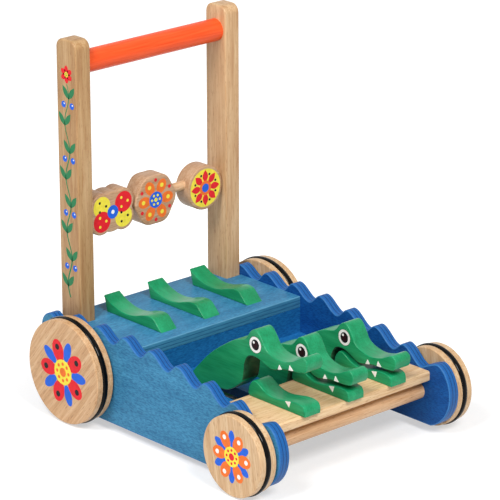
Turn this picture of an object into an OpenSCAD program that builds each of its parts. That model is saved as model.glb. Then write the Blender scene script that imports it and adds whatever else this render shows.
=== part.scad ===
// Toddler push toy: a four-wheeled wooden walker with a handle, three spinners
// and three chomping gators that cams on the rear axle lift in turn.
// Origin on the ground at the middle of the toy, front along -Y, its left along -X.

/* [Overall] */
// Height of the handle posts above the ground
post_top = 495; // [440:1:550]
// Distance between the front and the rear axle
wheelbase = 320.8; // [295:0.1:350]
// Clear width between the side panels
inner_w = 276.2; // [262:0.1:300]
// Running clearance round pieces that turn
run_gap = 0.3; // [0.2:0.05:0.5]
// Clearance of glued and pressed seats
seat_gap = 0.1; // [0.05:0.05:0.2]

/* [Wheels] */
// Rear wheel diameter over the tyre
rear_wheel_d = 141.6; // [128:0.1:155]
// Front wheel diameter over the tyre
front_wheel_d = 107.8; // [96:0.1:118]
// Wheel thickness
wheel_t = 26; // [22:0.5:30]
// Rounding of the wheel rims
rim_round = 2; // [1:0.25:3]
// Thickness of the rubber ring
tyre_t = 7; // [6:0.25:9]
// How far the rubber ring stands out of the rim
tyre_proud = 1.8; // [1:0.1:2.5]
// Diameter of the rear axle, which carries the cams
rear_axle_d = 16; // [14:0.5:17]
// Diameter of the front axle
front_axle_d = 22; // [18:0.5:24]
// Depth of the axle seat in a wheel
axle_seat = 16; // [12:0.5:20]
// Washer diameter
washer_d = 32; // [28:0.5:38]
// Washer thickness
washer_t = 1.6; // [1:0.1:2.5]

/* [Side panels] */
// Side panel thickness
panel_t = 16; // [13:0.5:18]
// Height of the panels' bottom edge above the ground
panel_lift = 11; // [8:0.1:16]
// Rise of the highest wave crest above the deck
crest_rise = 14.7; // [11:0.1:20]
// Depth of a wave from crest to trough
wave_depth = 14.5; // [10:0.1:18]
// Fall of the crest line from its highest crest to the nose
crest_fall = 40.5; // [34:0.1:46]
// Number of waves along a panel
wave_count = 8; // [7:1:9]
// Share of the first wave that the rear corner cuts off
wave_start = 0.22; // [0.1:0.02:0.4]
// Share of a wave that its falling flank takes
wave_skew = 0.6; // [0.5:0.02:0.7]
// Reach of the panel behind the rear axle
rear_reach = 76.9; // [72:0.1:82]
// Radius of the two rear corners
rear_round = 20; // [14:0.5:24]
// Radius of the nose
nose_r = 49.5; // [46:0.5:52]
// Distance of the nose's centre ahead of the front axle
nose_ahead = 6.3; // [4:0.1:10]
// Height of the nose's centre above the front axle
nose_up = 4.2; // [2:0.1:6]
// Distance of the last trough behind the nose's centre
trough_behind = 2.9; // [0:0.1:6]
// Height of the small crest on the nose
nose_crest = 97.3; // [96:0.1:102]

/* [Deck and floor] */
// Height of the deck's top
deck_top = 121.4; // [114:0.1:130]
// Deck thickness
deck_t = 15; // [12:0.5:17]
// Reach of the deck ahead of the rear axle
deck_ahead = 101.3; // [94:0.1:110]
// Reach of the deck behind the rear axle
deck_behind = 56.7; // [55.5:0.1:64]
// Gap in front of a post in its deck notch
notch_gap = 0.5; // [0.3:0.1:2]
// Thickness of the front wall under the deck
wall_t = 15; // [12:0.5:18]
// Thickness of the slotted floor
floor_t = 12; // [10:0.5:15]
// Lap of the floor under the jaw board
floor_lap = 15; // [10:0.5:20]
// Distance of the slots' end ahead of the deck
slot_short = 14; // [10:0.5:18]
// Clearance of a gator in its slots, each side
slot_gap = 1.2; // [0.8:0.1:2]
// Thickness of the back panel
back_t = 6; // [4:0.5:7]
// Height of the back panel's lower edge
back_low = 45; // [40:1:60]

/* [Jaw board] */
// Height of the jaw board's top
board_top = 85.2; // [80:0.1:90]
// Jaw board thickness
board_t = 13.7; // [11:0.1:16]
// Depth of the jaw board, front to back
board_depth = 96.5; // [94:0.5:104]
// Reach of the board ahead of the front axle
board_ahead = 19.7; // [16:0.1:26]
// Rounding of the board's front edge
board_round = 3; // [1.5:0.25:5]

/* [Handle] */
// Post width across the toy
post_w = 24.5; // [22:0.1:27]
// Post depth, front to back
post_d = 38.5; // [36:0.1:40]
// Distance of the posts' middle behind the rear axle
post_behind = 35.3; // [34.5:0.1:37]
// Height of the posts' foot
post_foot = 34; // [28:0.5:38]
// Rounding of a post's top corners
post_round = 12; // [8:0.5:16]
// Handle bar diameter
handle_d = 30; // [26:0.5:33]
// Distance of the bar's middle below the posts' top
handle_drop = 34; // [28:0.5:40]
// Depth of the seats for bar and rods in the posts
post_seat = 13; // [10:0.5:15]

/* [Spinners] */
// Diameter of the rod that carries the spinners
spin_rod_d = 12.7; // [10:0.1:15]
// Height of the spinner rod
spin_rod_h = 260.5; // [240:0.5:290]
// Spinner thickness
spinner_t = 26; // [22:0.5:32]
// Gap between the left spinner and its post
left_spin_gap = 1.2; // [0.6:0.1:4]
// Gap between the left and the middle spinner
middle_spin_gap = 1.8; // [1:0.1:12]
// Gap between the right spinner and its post
right_spin_gap = 1; // [0.6:0.1:8]
// Diameter of the round spinner on the right
disc_d = 60; // [54:0.5:62]
// Mean diameter of the six-sided spinner in the middle
hexagon_d = 68; // [60:0.5:70]
// Radius of the lobes of the spinner on the left
lobe_r = 18; // [16:0.25:19]
// Distance of the lobes from the middle, across
lobe_dx = 18; // [16:0.25:19]
// Distance of the lobes from the middle, in height
lobe_dz = 10; // [8:0.25:11]
// How far the round spinner's middle hangs below the rod
disc_hang = 6.5; // [4:0.25:8]
// How far the six-sided spinner's middle hangs below the rod
hexagon_hang = 3.5; // [2:0.25:6]
// How far the lobed spinner's middle hangs below the rod
lobe_hang = 3.3; // [2:0.1:6]

/* [Gators] */
// Thickness of gators, jaws and tails
gator_t = 27; // [24:0.5:29]
// Spacing of the gators across the toy
gator_pitch = 74; // [68:0.5:78]
// Offset of the gators from the toy's middle
gator_shift = 2.5; // [0:0.5:5]
// Angle of the open mouth on the left
open_angle = 5.3; // [4:0.1:5.6]
// Distance of the tails behind the deck's front edge
tail_set = 21.3; // [14:0.1:26]

/* [Mechanism] */
// Diameter of the pivot rod
pivot_d = 10; // [8:0.5:12]
// Radius of the eye at a lever's end
eye_r = 12; // [10:0.25:12.4]
// Gap between lever eye and deck
eye_roof = 3.8; // [3:0.1:5]
// Depth of a lever's arm under the floor
arm_h = 15; // [12:0.25:17]
// Gap between arm and deck above the rear axle, with the mouth shut
arm_roof = 5.5; // [5:0.1:7]
// Drop of the arm below the floor, with the mouth shut
arm_drop = 16.9; // [16:0.1:19]
// Diameter of a cam
cam_d = 21.4; // [20.8:0.1:22.4]
// Offset of a cam from the axle
cam_throw = 1.3; // [1:0.1:1.5]
// Gap between a cam's top and its lever
cam_gap = 2.4; // [2.2:0.1:2.7]
// Cam thickness
cam_t = 14; // [10:0.5:20]
// Outside diameter of the spacer sleeves on the pivot rod
sleeve_d = 18; // [15:0.5:22]

/* [Fasteners] */
// Glue dowel diameter
dowel_d = 6; // [5:0.5:7]
// Glue dowel length
dowel_l = 20; // [16:0.5:21]
// Distance of the glue dowels from the ends of a plate
dowel_inset = 25; // [18:0.5:28]
// Post bolt diameter
bolt_d = 6; // [5:0.5:8]
// Post bolt head diameter
bolt_head_d = 12; // [10:0.5:14]
// Post bolt head height
bolt_head_h = 4; // [3:0.25:5]
// Depth of a bolt in its post
bolt_grip = 17; // [12:0.5:19]

/* [Hidden] */
$fn = 64;
curve_steps = 4;
wave_steps = 10;
eps = 1;

left_side = -1;
right_side = 1;

rear_r = rear_wheel_d / 2;
front_r = front_wheel_d / 2;
nose_reach = nose_r + nose_ahead;
rear_y = (wheelbase + max(nose_reach, front_r) - max(rear_reach, rear_r)) / 2;
front_y = rear_y - wheelbase;

panel_in = inner_w / 2;
panel_out = panel_in + panel_t;
wheel_in = panel_out + washer_t + 2 * run_gap;
axle_end = wheel_in + axle_seat;

deck_under = deck_top - deck_t;
deck_front_y = rear_y - deck_ahead;
deck_back_y = rear_y + deck_behind;
wall_back_y = deck_front_y + wall_t;

board_front_y = front_y - board_ahead;
board_back_y = board_front_y + board_depth;
floor_top = board_top - board_t;
floor_under = floor_top - floor_t;
slot_end_y = deck_front_y - slot_short;

post_y = rear_y + post_behind;
post_in = panel_in - post_w;
handle_z = post_top - handle_drop;

lobed_half = lobe_dx + lobe_r;
hexagon_swell = 0.035;
hexagon_half = hexagon_d / 2 * (1 + hexagon_swell);
spin_left_x = left_spin_gap + lobed_half - post_in;
spin_mid_x = spin_left_x + lobed_half + middle_spin_gap + hexagon_half;
spin_right_x = post_in - right_spin_gap - disc_d / 2;

pivot_z = deck_under - eye_roof - eye_r;
cam_reach = cam_d / 2 + cam_throw;
arm_under = rear_r + cam_reach + cam_gap;
arm_top = floor_under - arm_drop;
arm_low = arm_top - arm_h;
slot_w = gator_t + 2 * slot_gap;
gator_xs = [for (i = [-1 : 1]) gator_shift + i * gator_pitch];

natural = "burlywood";
blue = "steelblue";
green = "forestgreen";
orange = "orangered";
black = "black";
steel = "silver";

// Point at share t of a smooth curve between b and c, with a and d as neighbours
function curve_point(a, b, c, d, t) =
    0.5 * (2 * b + (c - a) * t + (2 * a - 5 * b + 4 * c - d) * pow(t, 2)
        + (3 * b - a - 3 * c + d) * pow(t, 3));

// Smooth closed curve through the points
function closed_curve(p) =
    let (n = len(p))
    [for (i = [0 : n - 1], k = [0 : curve_steps - 1])
        curve_point(p[(i + n - 1) % n], p[i], p[(i + 1) % n], p[(i + 2) % n], k / curve_steps)];

// Smooth open curve from the first point to the last
function open_curve(p) =
    let (n = len(p))
    concat(
        [for (i = [0 : n - 2], k = [0 : curve_steps - 1])
            curve_point(p[max(i - 1, 0)], p[i], p[i + 1], p[min(i + 2, n - 1)], k / curve_steps)],
        [p[n - 1]]);

// Points of an arc about (y, z)
function arc(y, z, r, from, to, steps) =
    [for (i = [0 : steps]) let (a = from + (to - from) * i / steps) [y + r * cos(a), z + r * sin(a)]];

// Plate with an outline in the Y-Z plane, from x0 over a thickness
module plate(outline, x0, thickness) {
    translate([x0, 0, 0])
        rotate([90, 0, 90])
            linear_extrude(thickness)
                polygon(outline);
}

// Cylinder along X from x0 to x1 about (y, z)
module rod(d, x0, x1, y, z) {
    translate([x0, y, z])
        rotate([0, 90, 0])
            cylinder(d = d, h = x1 - x0);
}

// Block from its lowest to its highest corner
module block(low, high) {
    translate(low)
        cube(high - low);
}

// Outline of a side panel: rear corner, waves, nose, bottom edge
rear_edge_y = rear_y + rear_reach;
corner_y = rear_edge_y - rear_round;
nose_y = front_y - nose_ahead;
nose_z = front_r + nose_up;
brow_share = 0.48;
last_trough_y = nose_y + trough_behind;
wave_run = wave_count - 1 + wave_skew;
wave_pitch = (corner_y - last_trough_y) / (wave_run - wave_start);
crest_z = deck_top + crest_rise;
high_crest = 2;

function crest_line(u) = crest_z - crest_fall * pow((u - high_crest) / (wave_count - high_crest), 2);

function wave_phase(t) =
    t < wave_skew ? 0.5 * t / wave_skew : 0.5 + 0.5 * (t - wave_skew) / (1 - wave_skew);

function wave_z(u) = crest_line(u) - wave_depth * (0.5 - 0.5 * cos(360 * wave_phase(u - floor(u))));

nose_low_angle = asin((panel_lift - nose_z) / nose_r);
nose_high_angle = 42;
nose_steps = 14;
corner_steps = 6;

function panel_outline() =
    let (steps = ceil((wave_run - wave_start) * wave_steps),
         waves = [for (i = [0 : steps])
            let (u = wave_start + (wave_run - wave_start) * i / steps)
            [corner_y - (u - wave_start) * wave_pitch, wave_z(u)]],
         nose = [for (p = arc(0, 0, nose_r, nose_high_angle, nose_low_angle, nose_steps))
            [nose_y - p[0], nose_z + p[1]]],
         brow = open_curve([waves[len(waves) - 1], [nose_y - nose_r * brow_share, nose_crest], nose[0]]))
    concat(
        arc(corner_y, wave_z(wave_start) - rear_round, rear_round, 0, 90, corner_steps),
        [for (i = [1 : len(waves) - 2]) waves[i]],
        brow,
        [for (i = [1 : len(nose) - 1]) nose[i]],
        arc(corner_y, panel_lift + rear_round, rear_round, 270, 360, corner_steps));

// Places of the glue dowels along the plates that end at the panels, as [y, z]
dowel_spots = [
    [deck_front_y + dowel_inset, deck_under + deck_t / 2],
    [rear_y - dowel_inset, deck_under + deck_t / 2],
    [board_front_y + dowel_inset, floor_top + board_t / 2],
    [board_back_y - dowel_inset, floor_top + board_t / 2],
    [board_back_y + dowel_inset, floor_under + floor_t / 2],
    [slot_end_y, floor_under + floor_t / 2]
];

// Heights of the bolts that hold a post to its panel
bolt_spots = [post_foot + bolt_head_d, deck_under + deck_t / 2];

// A right-hand piece and its mirror image on the left
module both_sides() {
    children();
    mirror([1, 0, 0])
        children();
}

// Glue dowels on the right, or their holes where grow is a clearance
module dowel_row(grow) {
    for (spot = dowel_spots)
        rod(dowel_d + 2 * grow, panel_in - dowel_l / 2 - grow, panel_in + dowel_l / 2 + grow,
            spot[0], spot[1]);
}

// Bolts on the right, or their holes where grow is a clearance
module bolt_pair(grow) {
    head_x = panel_out - bolt_head_h;
    for (z = bolt_spots) {
        rod(bolt_d + 2 * grow, panel_in - bolt_grip - grow, head_x + bolt_head_h / 2, post_y, z);
        rod(bolt_head_d + 2 * grow, head_x - seat_gap - grow, panel_out - seat_gap + 2 * grow, post_y, z);
    }
}

// Plywood panel on the right, with bores for the axles
module panel_solid() {
    difference() {
        plate(panel_outline(), panel_in, panel_t);
        rod(rear_axle_d + 2 * run_gap, panel_in - eps, panel_out + eps, rear_y, rear_r);
        rod(front_axle_d + 2 * run_gap, panel_in - eps, panel_out + eps, front_y, front_r);
        dowel_row(seat_gap);
        bolt_pair(seat_gap);
    }
}

module left_side_panel() {
    color(blue)
        mirror([1, 0, 0])
            panel_solid();
}

module right_side_panel() {
    color(blue)
        panel_solid();
}

// Deck plate, notched at both rear corners for the posts
module deck() {
    color(blue)
        difference() {
            block([-panel_in, deck_front_y, deck_under], [panel_in, deck_back_y, deck_top]);
            both_sides() {
                block([post_in - seat_gap, post_y - post_d / 2 - notch_gap, deck_under - eps],
                    [panel_in + eps, deck_back_y + eps, deck_top + eps]);
                dowel_row(seat_gap);
            }
        }
}

// Wall between floor and deck, under the deck's front edge
module front_wall() {
    color(blue)
        block([-panel_in, deck_front_y, floor_top], [panel_in, wall_back_y, deck_under]);
}

// Floor between wall and jaw board, slotted for the gators' throats
module floor_panel() {
    color(blue)
        difference() {
            block([-panel_in, board_back_y - floor_lap, floor_under], [panel_in, wall_back_y, floor_top]);
            for (x = gator_xs)
                block([x - slot_w / 2, board_back_y, floor_under - eps],
                    [x + slot_w / 2, slot_end_y, floor_top + eps]);
            both_sides()
                dowel_row(seat_gap);
        }
}

// Thin panel between the posts that closes the lever space at the back
module back_panel() {
    color(blue)
        block([-post_in, post_y + post_d / 2 - back_t, back_low],
            [post_in, post_y + post_d / 2, deck_under]);
}

// Natural board between the panels, with a rounded front edge
module jaw_board() {
    color(natural)
        difference() {
            union() {
                block([-panel_in, board_front_y + board_round, floor_top],
                    [panel_in, board_back_y, board_top]);
                block([-panel_in, board_front_y, floor_top + board_round],
                    [panel_in, board_back_y, board_top - board_round]);
                for (z = [floor_top + board_round, board_top - board_round])
                    rod(2 * board_round, -panel_in, panel_in, board_front_y + board_round, z);
            }
            both_sides()
                dowel_row(seat_gap);
        }
}

// Post on the right, with round top corners and seats for bar, rods and bolts
module post_solid() {
    front = post_y - post_d / 2;
    back = post_y + post_d / 2;
    difference() {
        union() {
            block([post_in, front, post_foot], [panel_in, back, post_top - post_round]);
            block([post_in, front + post_round, post_foot], [panel_in, back - post_round, post_top]);
            for (y = [front + post_round, back - post_round])
                rod(2 * post_round, post_in, panel_in, y, post_top - post_round);
        }
        rod(handle_d + 2 * seat_gap, post_in - eps, post_in + post_seat, post_y, handle_z);
        rod(spin_rod_d + 2 * seat_gap, post_in - eps, post_in + post_seat, post_y, spin_rod_h);
        rod(pivot_d + 2 * seat_gap, post_in - eps, post_in + post_seat, post_y, pivot_z);
        bolt_pair(seat_gap);
    }
}

module left_post() {
    color(natural)
        mirror([1, 0, 0])
            post_solid();
}

module right_post() {
    color(natural)
        post_solid();
}

// End of a bar in its post seat
seat_end = post_in + post_seat - seat_gap;

module handle_bar() {
    color(orange)
        rod(handle_d, -seat_end, seat_end, post_y, handle_z);
}

module spinner_rod() {
    color(natural)
        rod(spin_rod_d, -seat_end, seat_end, post_y, spin_rod_h);
}

module pivot_rod() {
    color(natural)
        rod(pivot_d, -seat_end, seat_end, post_y, pivot_z);
}

// Sleeves that keep the levers apart on the pivot rod
module pivot_sleeves() {
    half = gator_t / 2 + run_gap;
    spans = [
        [-post_in, gator_xs[0] - half], [gator_xs[0] + half, gator_xs[1] - half],
        [gator_xs[1] + half, gator_xs[2] - half], [gator_xs[2] + half, post_in]
    ];
    color(natural)
        for (span = spans)
            difference() {
                rod(sleeve_d, span[0], span[1], post_y, pivot_z);
                rod(pivot_d + 2 * seat_gap, span[0] - eps, span[1] + eps, post_y, pivot_z);
            }
}

module panel_dowels() {
    color(natural)
        both_sides()
            dowel_row(0);
}

module post_bolts() {
    color(steel)
        both_sides()
            bolt_pair(0);
}

// Tail on the deck, as [distance behind its front corner, height above the deck]
tail_top = [
    [12.7, 12.5], [17.8, 15.3], [27.4, 16], [40.7, 13], [52.9, 9.2], [67, 7.3],
    [81.3, 8.2], [93.5, 11.5], [101.6, 14.8], [112.9, 21.2]
];
tail_back = 107.1;

module tail(x) {
    y0 = deck_front_y + tail_set;
    outline = concat([[0, 0]], open_curve(tail_top), [[tail_back, 0]]);
    color(green)
        plate([for (p = outline) [y0 + p[0], deck_top + p[1]]], x - gator_t / 2, gator_t);
}

module left_tail() tail(gator_xs[0]);
module middle_tail() tail(gator_xs[1]);
module right_tail() tail(gator_xs[2]);

// Place of a head or jaw point given as [distance ahead of the board's back edge, height above it]
function jaw_point(p) = [board_back_y - p[0], board_top + p[1]];

// Lower jaw on the board: its rim from the throat to the chin
jaw_rim = [
    [-0.5, 3.6], [1.5, 12.6], [6.6, 20.2], [11.2, 22.1], [17.3, 20.6], [28.5, 14.2], [39.8, 10.8],
    [52, 10.4], [67.3, 12.7], [80.6, 15], [91.9, 15], [99.5, 12.7], [102.5, 7.1]
];
jaw_heel = 3.5;
jaw_chin = 102.3;

module jaw(x) {
    outline = concat([[jaw_heel, 0]], open_curve(jaw_rim), [[jaw_chin, 0]]);
    color(green)
        plate([for (p = outline) jaw_point(p)], x - gator_t / 2, gator_t);
}

module left_jaw() jaw(gator_xs[0]);
module middle_jaw() jaw(gator_xs[1]);
module right_jaw() jaw(gator_xs[2]);

// Gator head from the snout over brow and neck
head_top = [
    [109.6, 30.6], [108.7, 37.9], [102.5, 41.7], [95.4, 39.1], [83.1, 33.4], [66.7, 30.5],
    [49.4, 33.3], [37.6, 39.6], [31.6, 49.3], [26.8, 56.8], [22.9, 60.9], [17.7, 62.6], [12.2, 60.6],
    [7.7, 56.4], [4, 51.8], [-0.1, 48.2], [-5.2, 46.2], [-11.8, 44.9], [-18.5, 43.5], [-25.6, 40.7],
    [-34.8, 36.2], [-46, 30.3], [-56.3, 24.5], [-66.5, 18], [-76.2, 11.1], [-84.8, 3.8], [-93, -3.1],
    [-99.1, -8.4]
];
// Belly, throat and mouth line back to the snout
head_low = [
    [-66, -29], [-38.5, -26], [-15.2, -13.4], [-9.1, -5.5], [-5.6, 6.9], [-3.7, 15.1], [1.7, 23.6],
    [9, 26.7], [17.7, 26.2], [27.4, 23], [39.1, 17.5], [49.3, 16], [61.6, 18.8], [76.9, 20.6],
    [94.3, 21.2], [105.5, 23.3]
];
// Neck's back in the slot: distance ahead of the slot's end, drop below the floor's top
neck_back = [[20, 4.7], [13, 15.7]];
// Belly under the floor: distance ahead of the slot's end, rise over the arm's underside
belly = [[5, 0], [19.5, 3.9], [31.5, 13.9]];
// Bends of the arm behind the wall: distance behind it, rise over the arm's top or underside
over_bend = [[3.2, -0.5], [19.2, 10]];
under_bend = [[22, 4.8], [0, 0]];
// Slope up to the cam: distance ahead of the axle, depth under the deck or under the saddle
over_slope = [[48.5, 31], [30.5, 14]];
under_slope = [[26, 4.5], [37, 20.5], [52, 41]];
// Length of the arm's flat over the cam, each way from the axle, and start of its flat top
saddle_half = 14;
saddle_top = 6.5;
// Height of the arm's end points at the eye, as a share of the eye's radius
eye_hold = 0.8;
// Where the arm's top levels out: distance ahead of the slot's end, rise; distance ahead of the wall
level_ahead = 4.8;
level_rise = 3.7;
wall_ahead = 3;

// Arm from the neck down through the slot, under wall and floor, up over the cam to the pivot, and back
arm_path = concat(
    [for (p = neck_back) [slot_end_y - p[0], floor_top - p[1]]],
    [[slot_end_y - level_ahead, arm_top + level_rise], [deck_front_y - wall_ahead, arm_top]],
    [for (p = over_bend) [wall_back_y + p[0], arm_top + p[1]]],
    [for (p = over_slope) [rear_y - p[0], deck_under - p[1]]],
    [[rear_y - saddle_top, deck_under - arm_roof],
     [post_y - eye_r / 2, pivot_z + eye_r * eye_hold],
     [post_y + eye_r / 3, pivot_z],
     [post_y - eye_r / 2, pivot_z - eye_r * eye_hold],
     [rear_y + saddle_half, arm_under],
     [rear_y - saddle_half, arm_under]],
    [for (p = under_slope) [rear_y - p[0], arm_under - p[1]]],
    [for (p = under_bend) [wall_back_y + p[0], arm_low + p[1]]],
    [[deck_front_y, arm_low]],
    [for (p = belly) [slot_end_y - p[0], arm_low + p[1]]]);

function gator_outline() =
    closed_curve(concat(
        [for (p = head_top) jaw_point(p)],
        arm_path,
        [for (p = head_low) jaw_point(p)]));

// Gator at x, its mouth raised by lift degrees about the pivot rod
module gator(x, lift) {
    x0 = x - gator_t / 2;
    color(green)
        translate([0, post_y, pivot_z])
            rotate([-lift, 0, 0])
                translate([0, -post_y, -pivot_z])
                    difference() {
                        union() {
                            plate(gator_outline(), x0, gator_t);
                            rod(2 * eye_r, x0, x0 + gator_t, post_y, pivot_z);
                        }
                        rod(pivot_d + 2 * run_gap, x0 - eps, x0 + gator_t + eps, post_y, pivot_z);
                    }
}

module left_gator() gator(gator_xs[0], open_angle);
module middle_gator() gator(gator_xs[1], 0);
module right_gator() gator(gator_xs[2], 0);

// Wooden wheel on the right: rounded rims, a groove for the tyre, a blind seat for the axle
module wheel_solid(r, y, axle_d) {
    rim_r = r - tyre_proud;
    translate([wheel_in, y, r])
        rotate([0, 90, 0])
            rotate_extrude()
                difference() {
                    union() {
                        square([rim_r - rim_round, wheel_t]);
                        translate([0, rim_round])
                            square([rim_r, wheel_t - 2 * rim_round]);
                        for (h = [rim_round, wheel_t - rim_round])
                            translate([rim_r - rim_round, h])
                                circle(rim_round);
                    }
                    translate([r - tyre_t / 2, wheel_t / 2])
                        circle(d = tyre_t + 2 * seat_gap);
                    translate([0, -eps])
                        square([axle_d / 2 + seat_gap, axle_seat + seat_gap + eps]);
                }
}

module wheel(side, r, y, axle_d) {
    color(natural)
        mirror([side < 0 ? 1 : 0, 0, 0])
            wheel_solid(r, y, axle_d);
}

// Rubber ring in the wheel's groove
module tyre(side, r, y) {
    color(black)
        translate([side * (wheel_in + wheel_t / 2), y, r])
            rotate([0, 90, 0])
                rotate_extrude()
                    translate([r - tyre_t / 2, 0])
                        circle(d = tyre_t);
}

// Axle dowel from wheel seat to wheel seat
module axle(y, z, d) {
    color(natural)
        rod(d, -axle_end, axle_end, y, z);
}

// Washers between the wheels and the panels
module washers(y, z, axle_d) {
    x0 = panel_out + run_gap;
    color(black)
        both_sides()
            difference() {
                rod(washer_d, x0, x0 + washer_t, y, z);
                rod(axle_d + 2 * seat_gap, x0 - eps, x0 + washer_t + eps, y, z);
            }
}

module rear_axle() axle(rear_y, rear_r, rear_axle_d);
module rear_washers() washers(rear_y, rear_r, rear_axle_d);
module left_rear_wheel() wheel(left_side, rear_r, rear_y, rear_axle_d);
module right_rear_wheel() wheel(right_side, rear_r, rear_y, rear_axle_d);
module left_rear_tyre() tyre(left_side, rear_r, rear_y);
module right_rear_tyre() tyre(right_side, rear_r, rear_y);

module front_axle() axle(front_y, front_r, front_axle_d);
module front_washers() washers(front_y, front_r, front_axle_d);
module left_front_wheel() wheel(left_side, front_r, front_y, front_axle_d);
module right_front_wheel() wheel(right_side, front_r, front_y, front_axle_d);
module left_front_tyre() tyre(left_side, front_r, front_y);
module right_front_tyre() tyre(right_side, front_r, front_y);

// Eccentric disc on the rear axle, its high side turned to an angle from the rear
module cam(x, angle) {
    color(natural)
        difference() {
            rod(cam_d, x - cam_t / 2, x + cam_t / 2,
                rear_y + cam_throw * cos(angle), rear_r + cam_throw * sin(angle));
            rod(rear_axle_d + 2 * seat_gap, x - cam_t / 2 - eps, x + cam_t / 2 + eps, rear_y, rear_r);
        }
}

// The cams stand a third of a turn apart, so that the gators open in turn
cam_start = 90;
cam_step = 120;

module left_cam() cam(gator_xs[0], cam_start);
module middle_cam() cam(gator_xs[1], cam_start + cam_step);
module right_cam() cam(gator_xs[2], cam_start + 2 * cam_step);

// Spinner block at x, bored across for its rod, with its middle hanging below it
module spinner(x, reach, hang) {
    color(natural)
        difference() {
            translate([x, post_y, spin_rod_h - hang])
                rotate([90, 0, 0])
                    children();
            rod(spin_rod_d + 2 * run_gap, x - reach, x + reach, post_y, spin_rod_h);
        }
}

// Four-lobed block
module left_spinner() {
    spinner(spin_left_x, lobed_half + eps, lobe_hang)
        union() {
            cylinder(r = lobe_dx + lobe_r / 2, h = spinner_t, center = true);
            for (dx = [-lobe_dx, lobe_dx], dz = [-lobe_dz, lobe_dz])
                translate([dx, dz, 0])
                    cylinder(r = lobe_r, h = spinner_t, center = true);
        }
}

// Soft six-sided block
hexagon_sides = 6;
hexagon_points = 60;

module middle_spinner() {
    outline = [for (i = [0 : hexagon_points - 1])
        let (a = 360 * i / hexagon_points, r = hexagon_d / 2 * (1 + hexagon_swell * cos(hexagon_sides * a)))
        [r * cos(a), r * sin(a)]];
    spinner(spin_mid_x, hexagon_d, hexagon_hang)
        linear_extrude(spinner_t, center = true)
            polygon(outline);
}

// Round block
module right_spinner() {
    spinner(spin_right_x, disc_d, disc_hang)
        cylinder(d = disc_d, h = spinner_t, center = true);
}

left_side_panel();
right_side_panel();
deck();
front_wall();
floor_panel();
back_panel();
jaw_board();
left_post();
right_post();
handle_bar();
spinner_rod();
left_tail();
middle_tail();
right_tail();
left_jaw();
middle_jaw();
right_jaw();
pivot_rod();
pivot_sleeves();
panel_dowels();
post_bolts();
rear_axle();
left_rear_wheel();
right_rear_wheel();
left_rear_tyre();
right_rear_tyre();
left_cam();
middle_cam();
right_cam();
rear_washers();
front_axle();
left_front_wheel();
right_front_wheel();
left_front_tyre();
right_front_tyre();
front_washers();
left_gator();
middle_gator();
right_gator();
left_spinner();
middle_spinner();
right_spinner();
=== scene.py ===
import math

import bmesh
import bpy
import numpy as np
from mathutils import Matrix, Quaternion, Vector


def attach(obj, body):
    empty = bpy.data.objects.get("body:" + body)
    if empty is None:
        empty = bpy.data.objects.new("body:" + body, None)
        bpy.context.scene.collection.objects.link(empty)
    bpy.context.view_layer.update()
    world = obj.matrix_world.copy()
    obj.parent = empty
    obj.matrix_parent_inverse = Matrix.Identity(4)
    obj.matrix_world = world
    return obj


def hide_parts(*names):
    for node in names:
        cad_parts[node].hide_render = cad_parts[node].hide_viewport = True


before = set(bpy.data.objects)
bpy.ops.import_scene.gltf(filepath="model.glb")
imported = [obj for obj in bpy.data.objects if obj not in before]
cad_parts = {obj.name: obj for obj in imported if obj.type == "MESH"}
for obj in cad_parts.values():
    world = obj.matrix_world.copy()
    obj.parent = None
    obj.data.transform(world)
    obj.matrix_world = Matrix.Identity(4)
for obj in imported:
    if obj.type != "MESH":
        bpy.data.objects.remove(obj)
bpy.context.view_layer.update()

# Side panels. Two sheets of 16 mm birch plywood, jigsawn to waves along the top and to a round nose,
# sanded over at the edges, then wiped with a blue water stain and sealed with satin lacquer.
# Deck, jaw board and floor are glued and dowelled between them.
MM = 0.001
PANEL_IN, PANEL_OUT = 138.1, 154.1
PANEL_LIFT, PANEL_EASE = 11.0, 1.6
REAR_EDGE, REAR_ROUND = 226.75, 20.0
CREST_TOP, CREST_FALL, HIGH_CREST = 136.1, 40.5, 2
WAVES, WAVE_START, WAVE_DEPTH, WAVE_SKEW = 8, 0.22, 14.5, 0.6
NOSE_R, NOSE_Y, NOSE_Z = 49.5, -177.25, 58.1
NOSE_BROW = (NOSE_Y - 0.48 * NOSE_R, 97.3)
NOSE_ARC_TOP = math.radians(42)
LAST_TROUGH = -174.35
WAVE_POINTS, NOSE_STEPS, BROW_STEPS, CORNER_STEPS = 190, 40, 12, 14
SHARP_ANGLE = math.radians(40)
SEAM_GAP = 1e-7


def linear(hex_colour):
    """sRGB hex to linear RGBA: the sRGB curve is undone on each channel."""
    srgb = np.array([int(hex_colour[i : i + 2], 16) for i in (1, 3, 5)]) / 255
    rgb = np.where(srgb <= 0.04045, srgb / 12.92, ((srgb + 0.055) / 1.055) ** 2.4)
    return (*rgb.tolist(), 1.0)


def add(tree, kind, inputs=None, stops=(), **settings):
    """One shader node: settings are its properties, inputs its sockets, each with a value or a link,
    and stops the (position, hex) colours of a colour scale."""
    made = tree.nodes.new("ShaderNode" + kind)
    for name, value in settings.items():
        setattr(made, name, value)
    for name, value in (inputs or {}).items():
        if isinstance(value, bpy.types.NodeSocket):
            tree.links.new(value, made.inputs[name])
        else:
            made.inputs[name].default_value = value
    if stops:
        scale = made.color_ramp.elements
        while len(scale) < len(stops):
            scale.new(1.0)
        for element, (position, colour) in zip(scale, stops):
            element.position, element.color = position, linear(colour)
    return made


def new_material(name):
    """An empty material, as (material, tree)."""
    material = bpy.data.materials.new(name)
    material.use_nodes = True
    material.node_tree.nodes.clear()
    return material, material.node_tree


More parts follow.
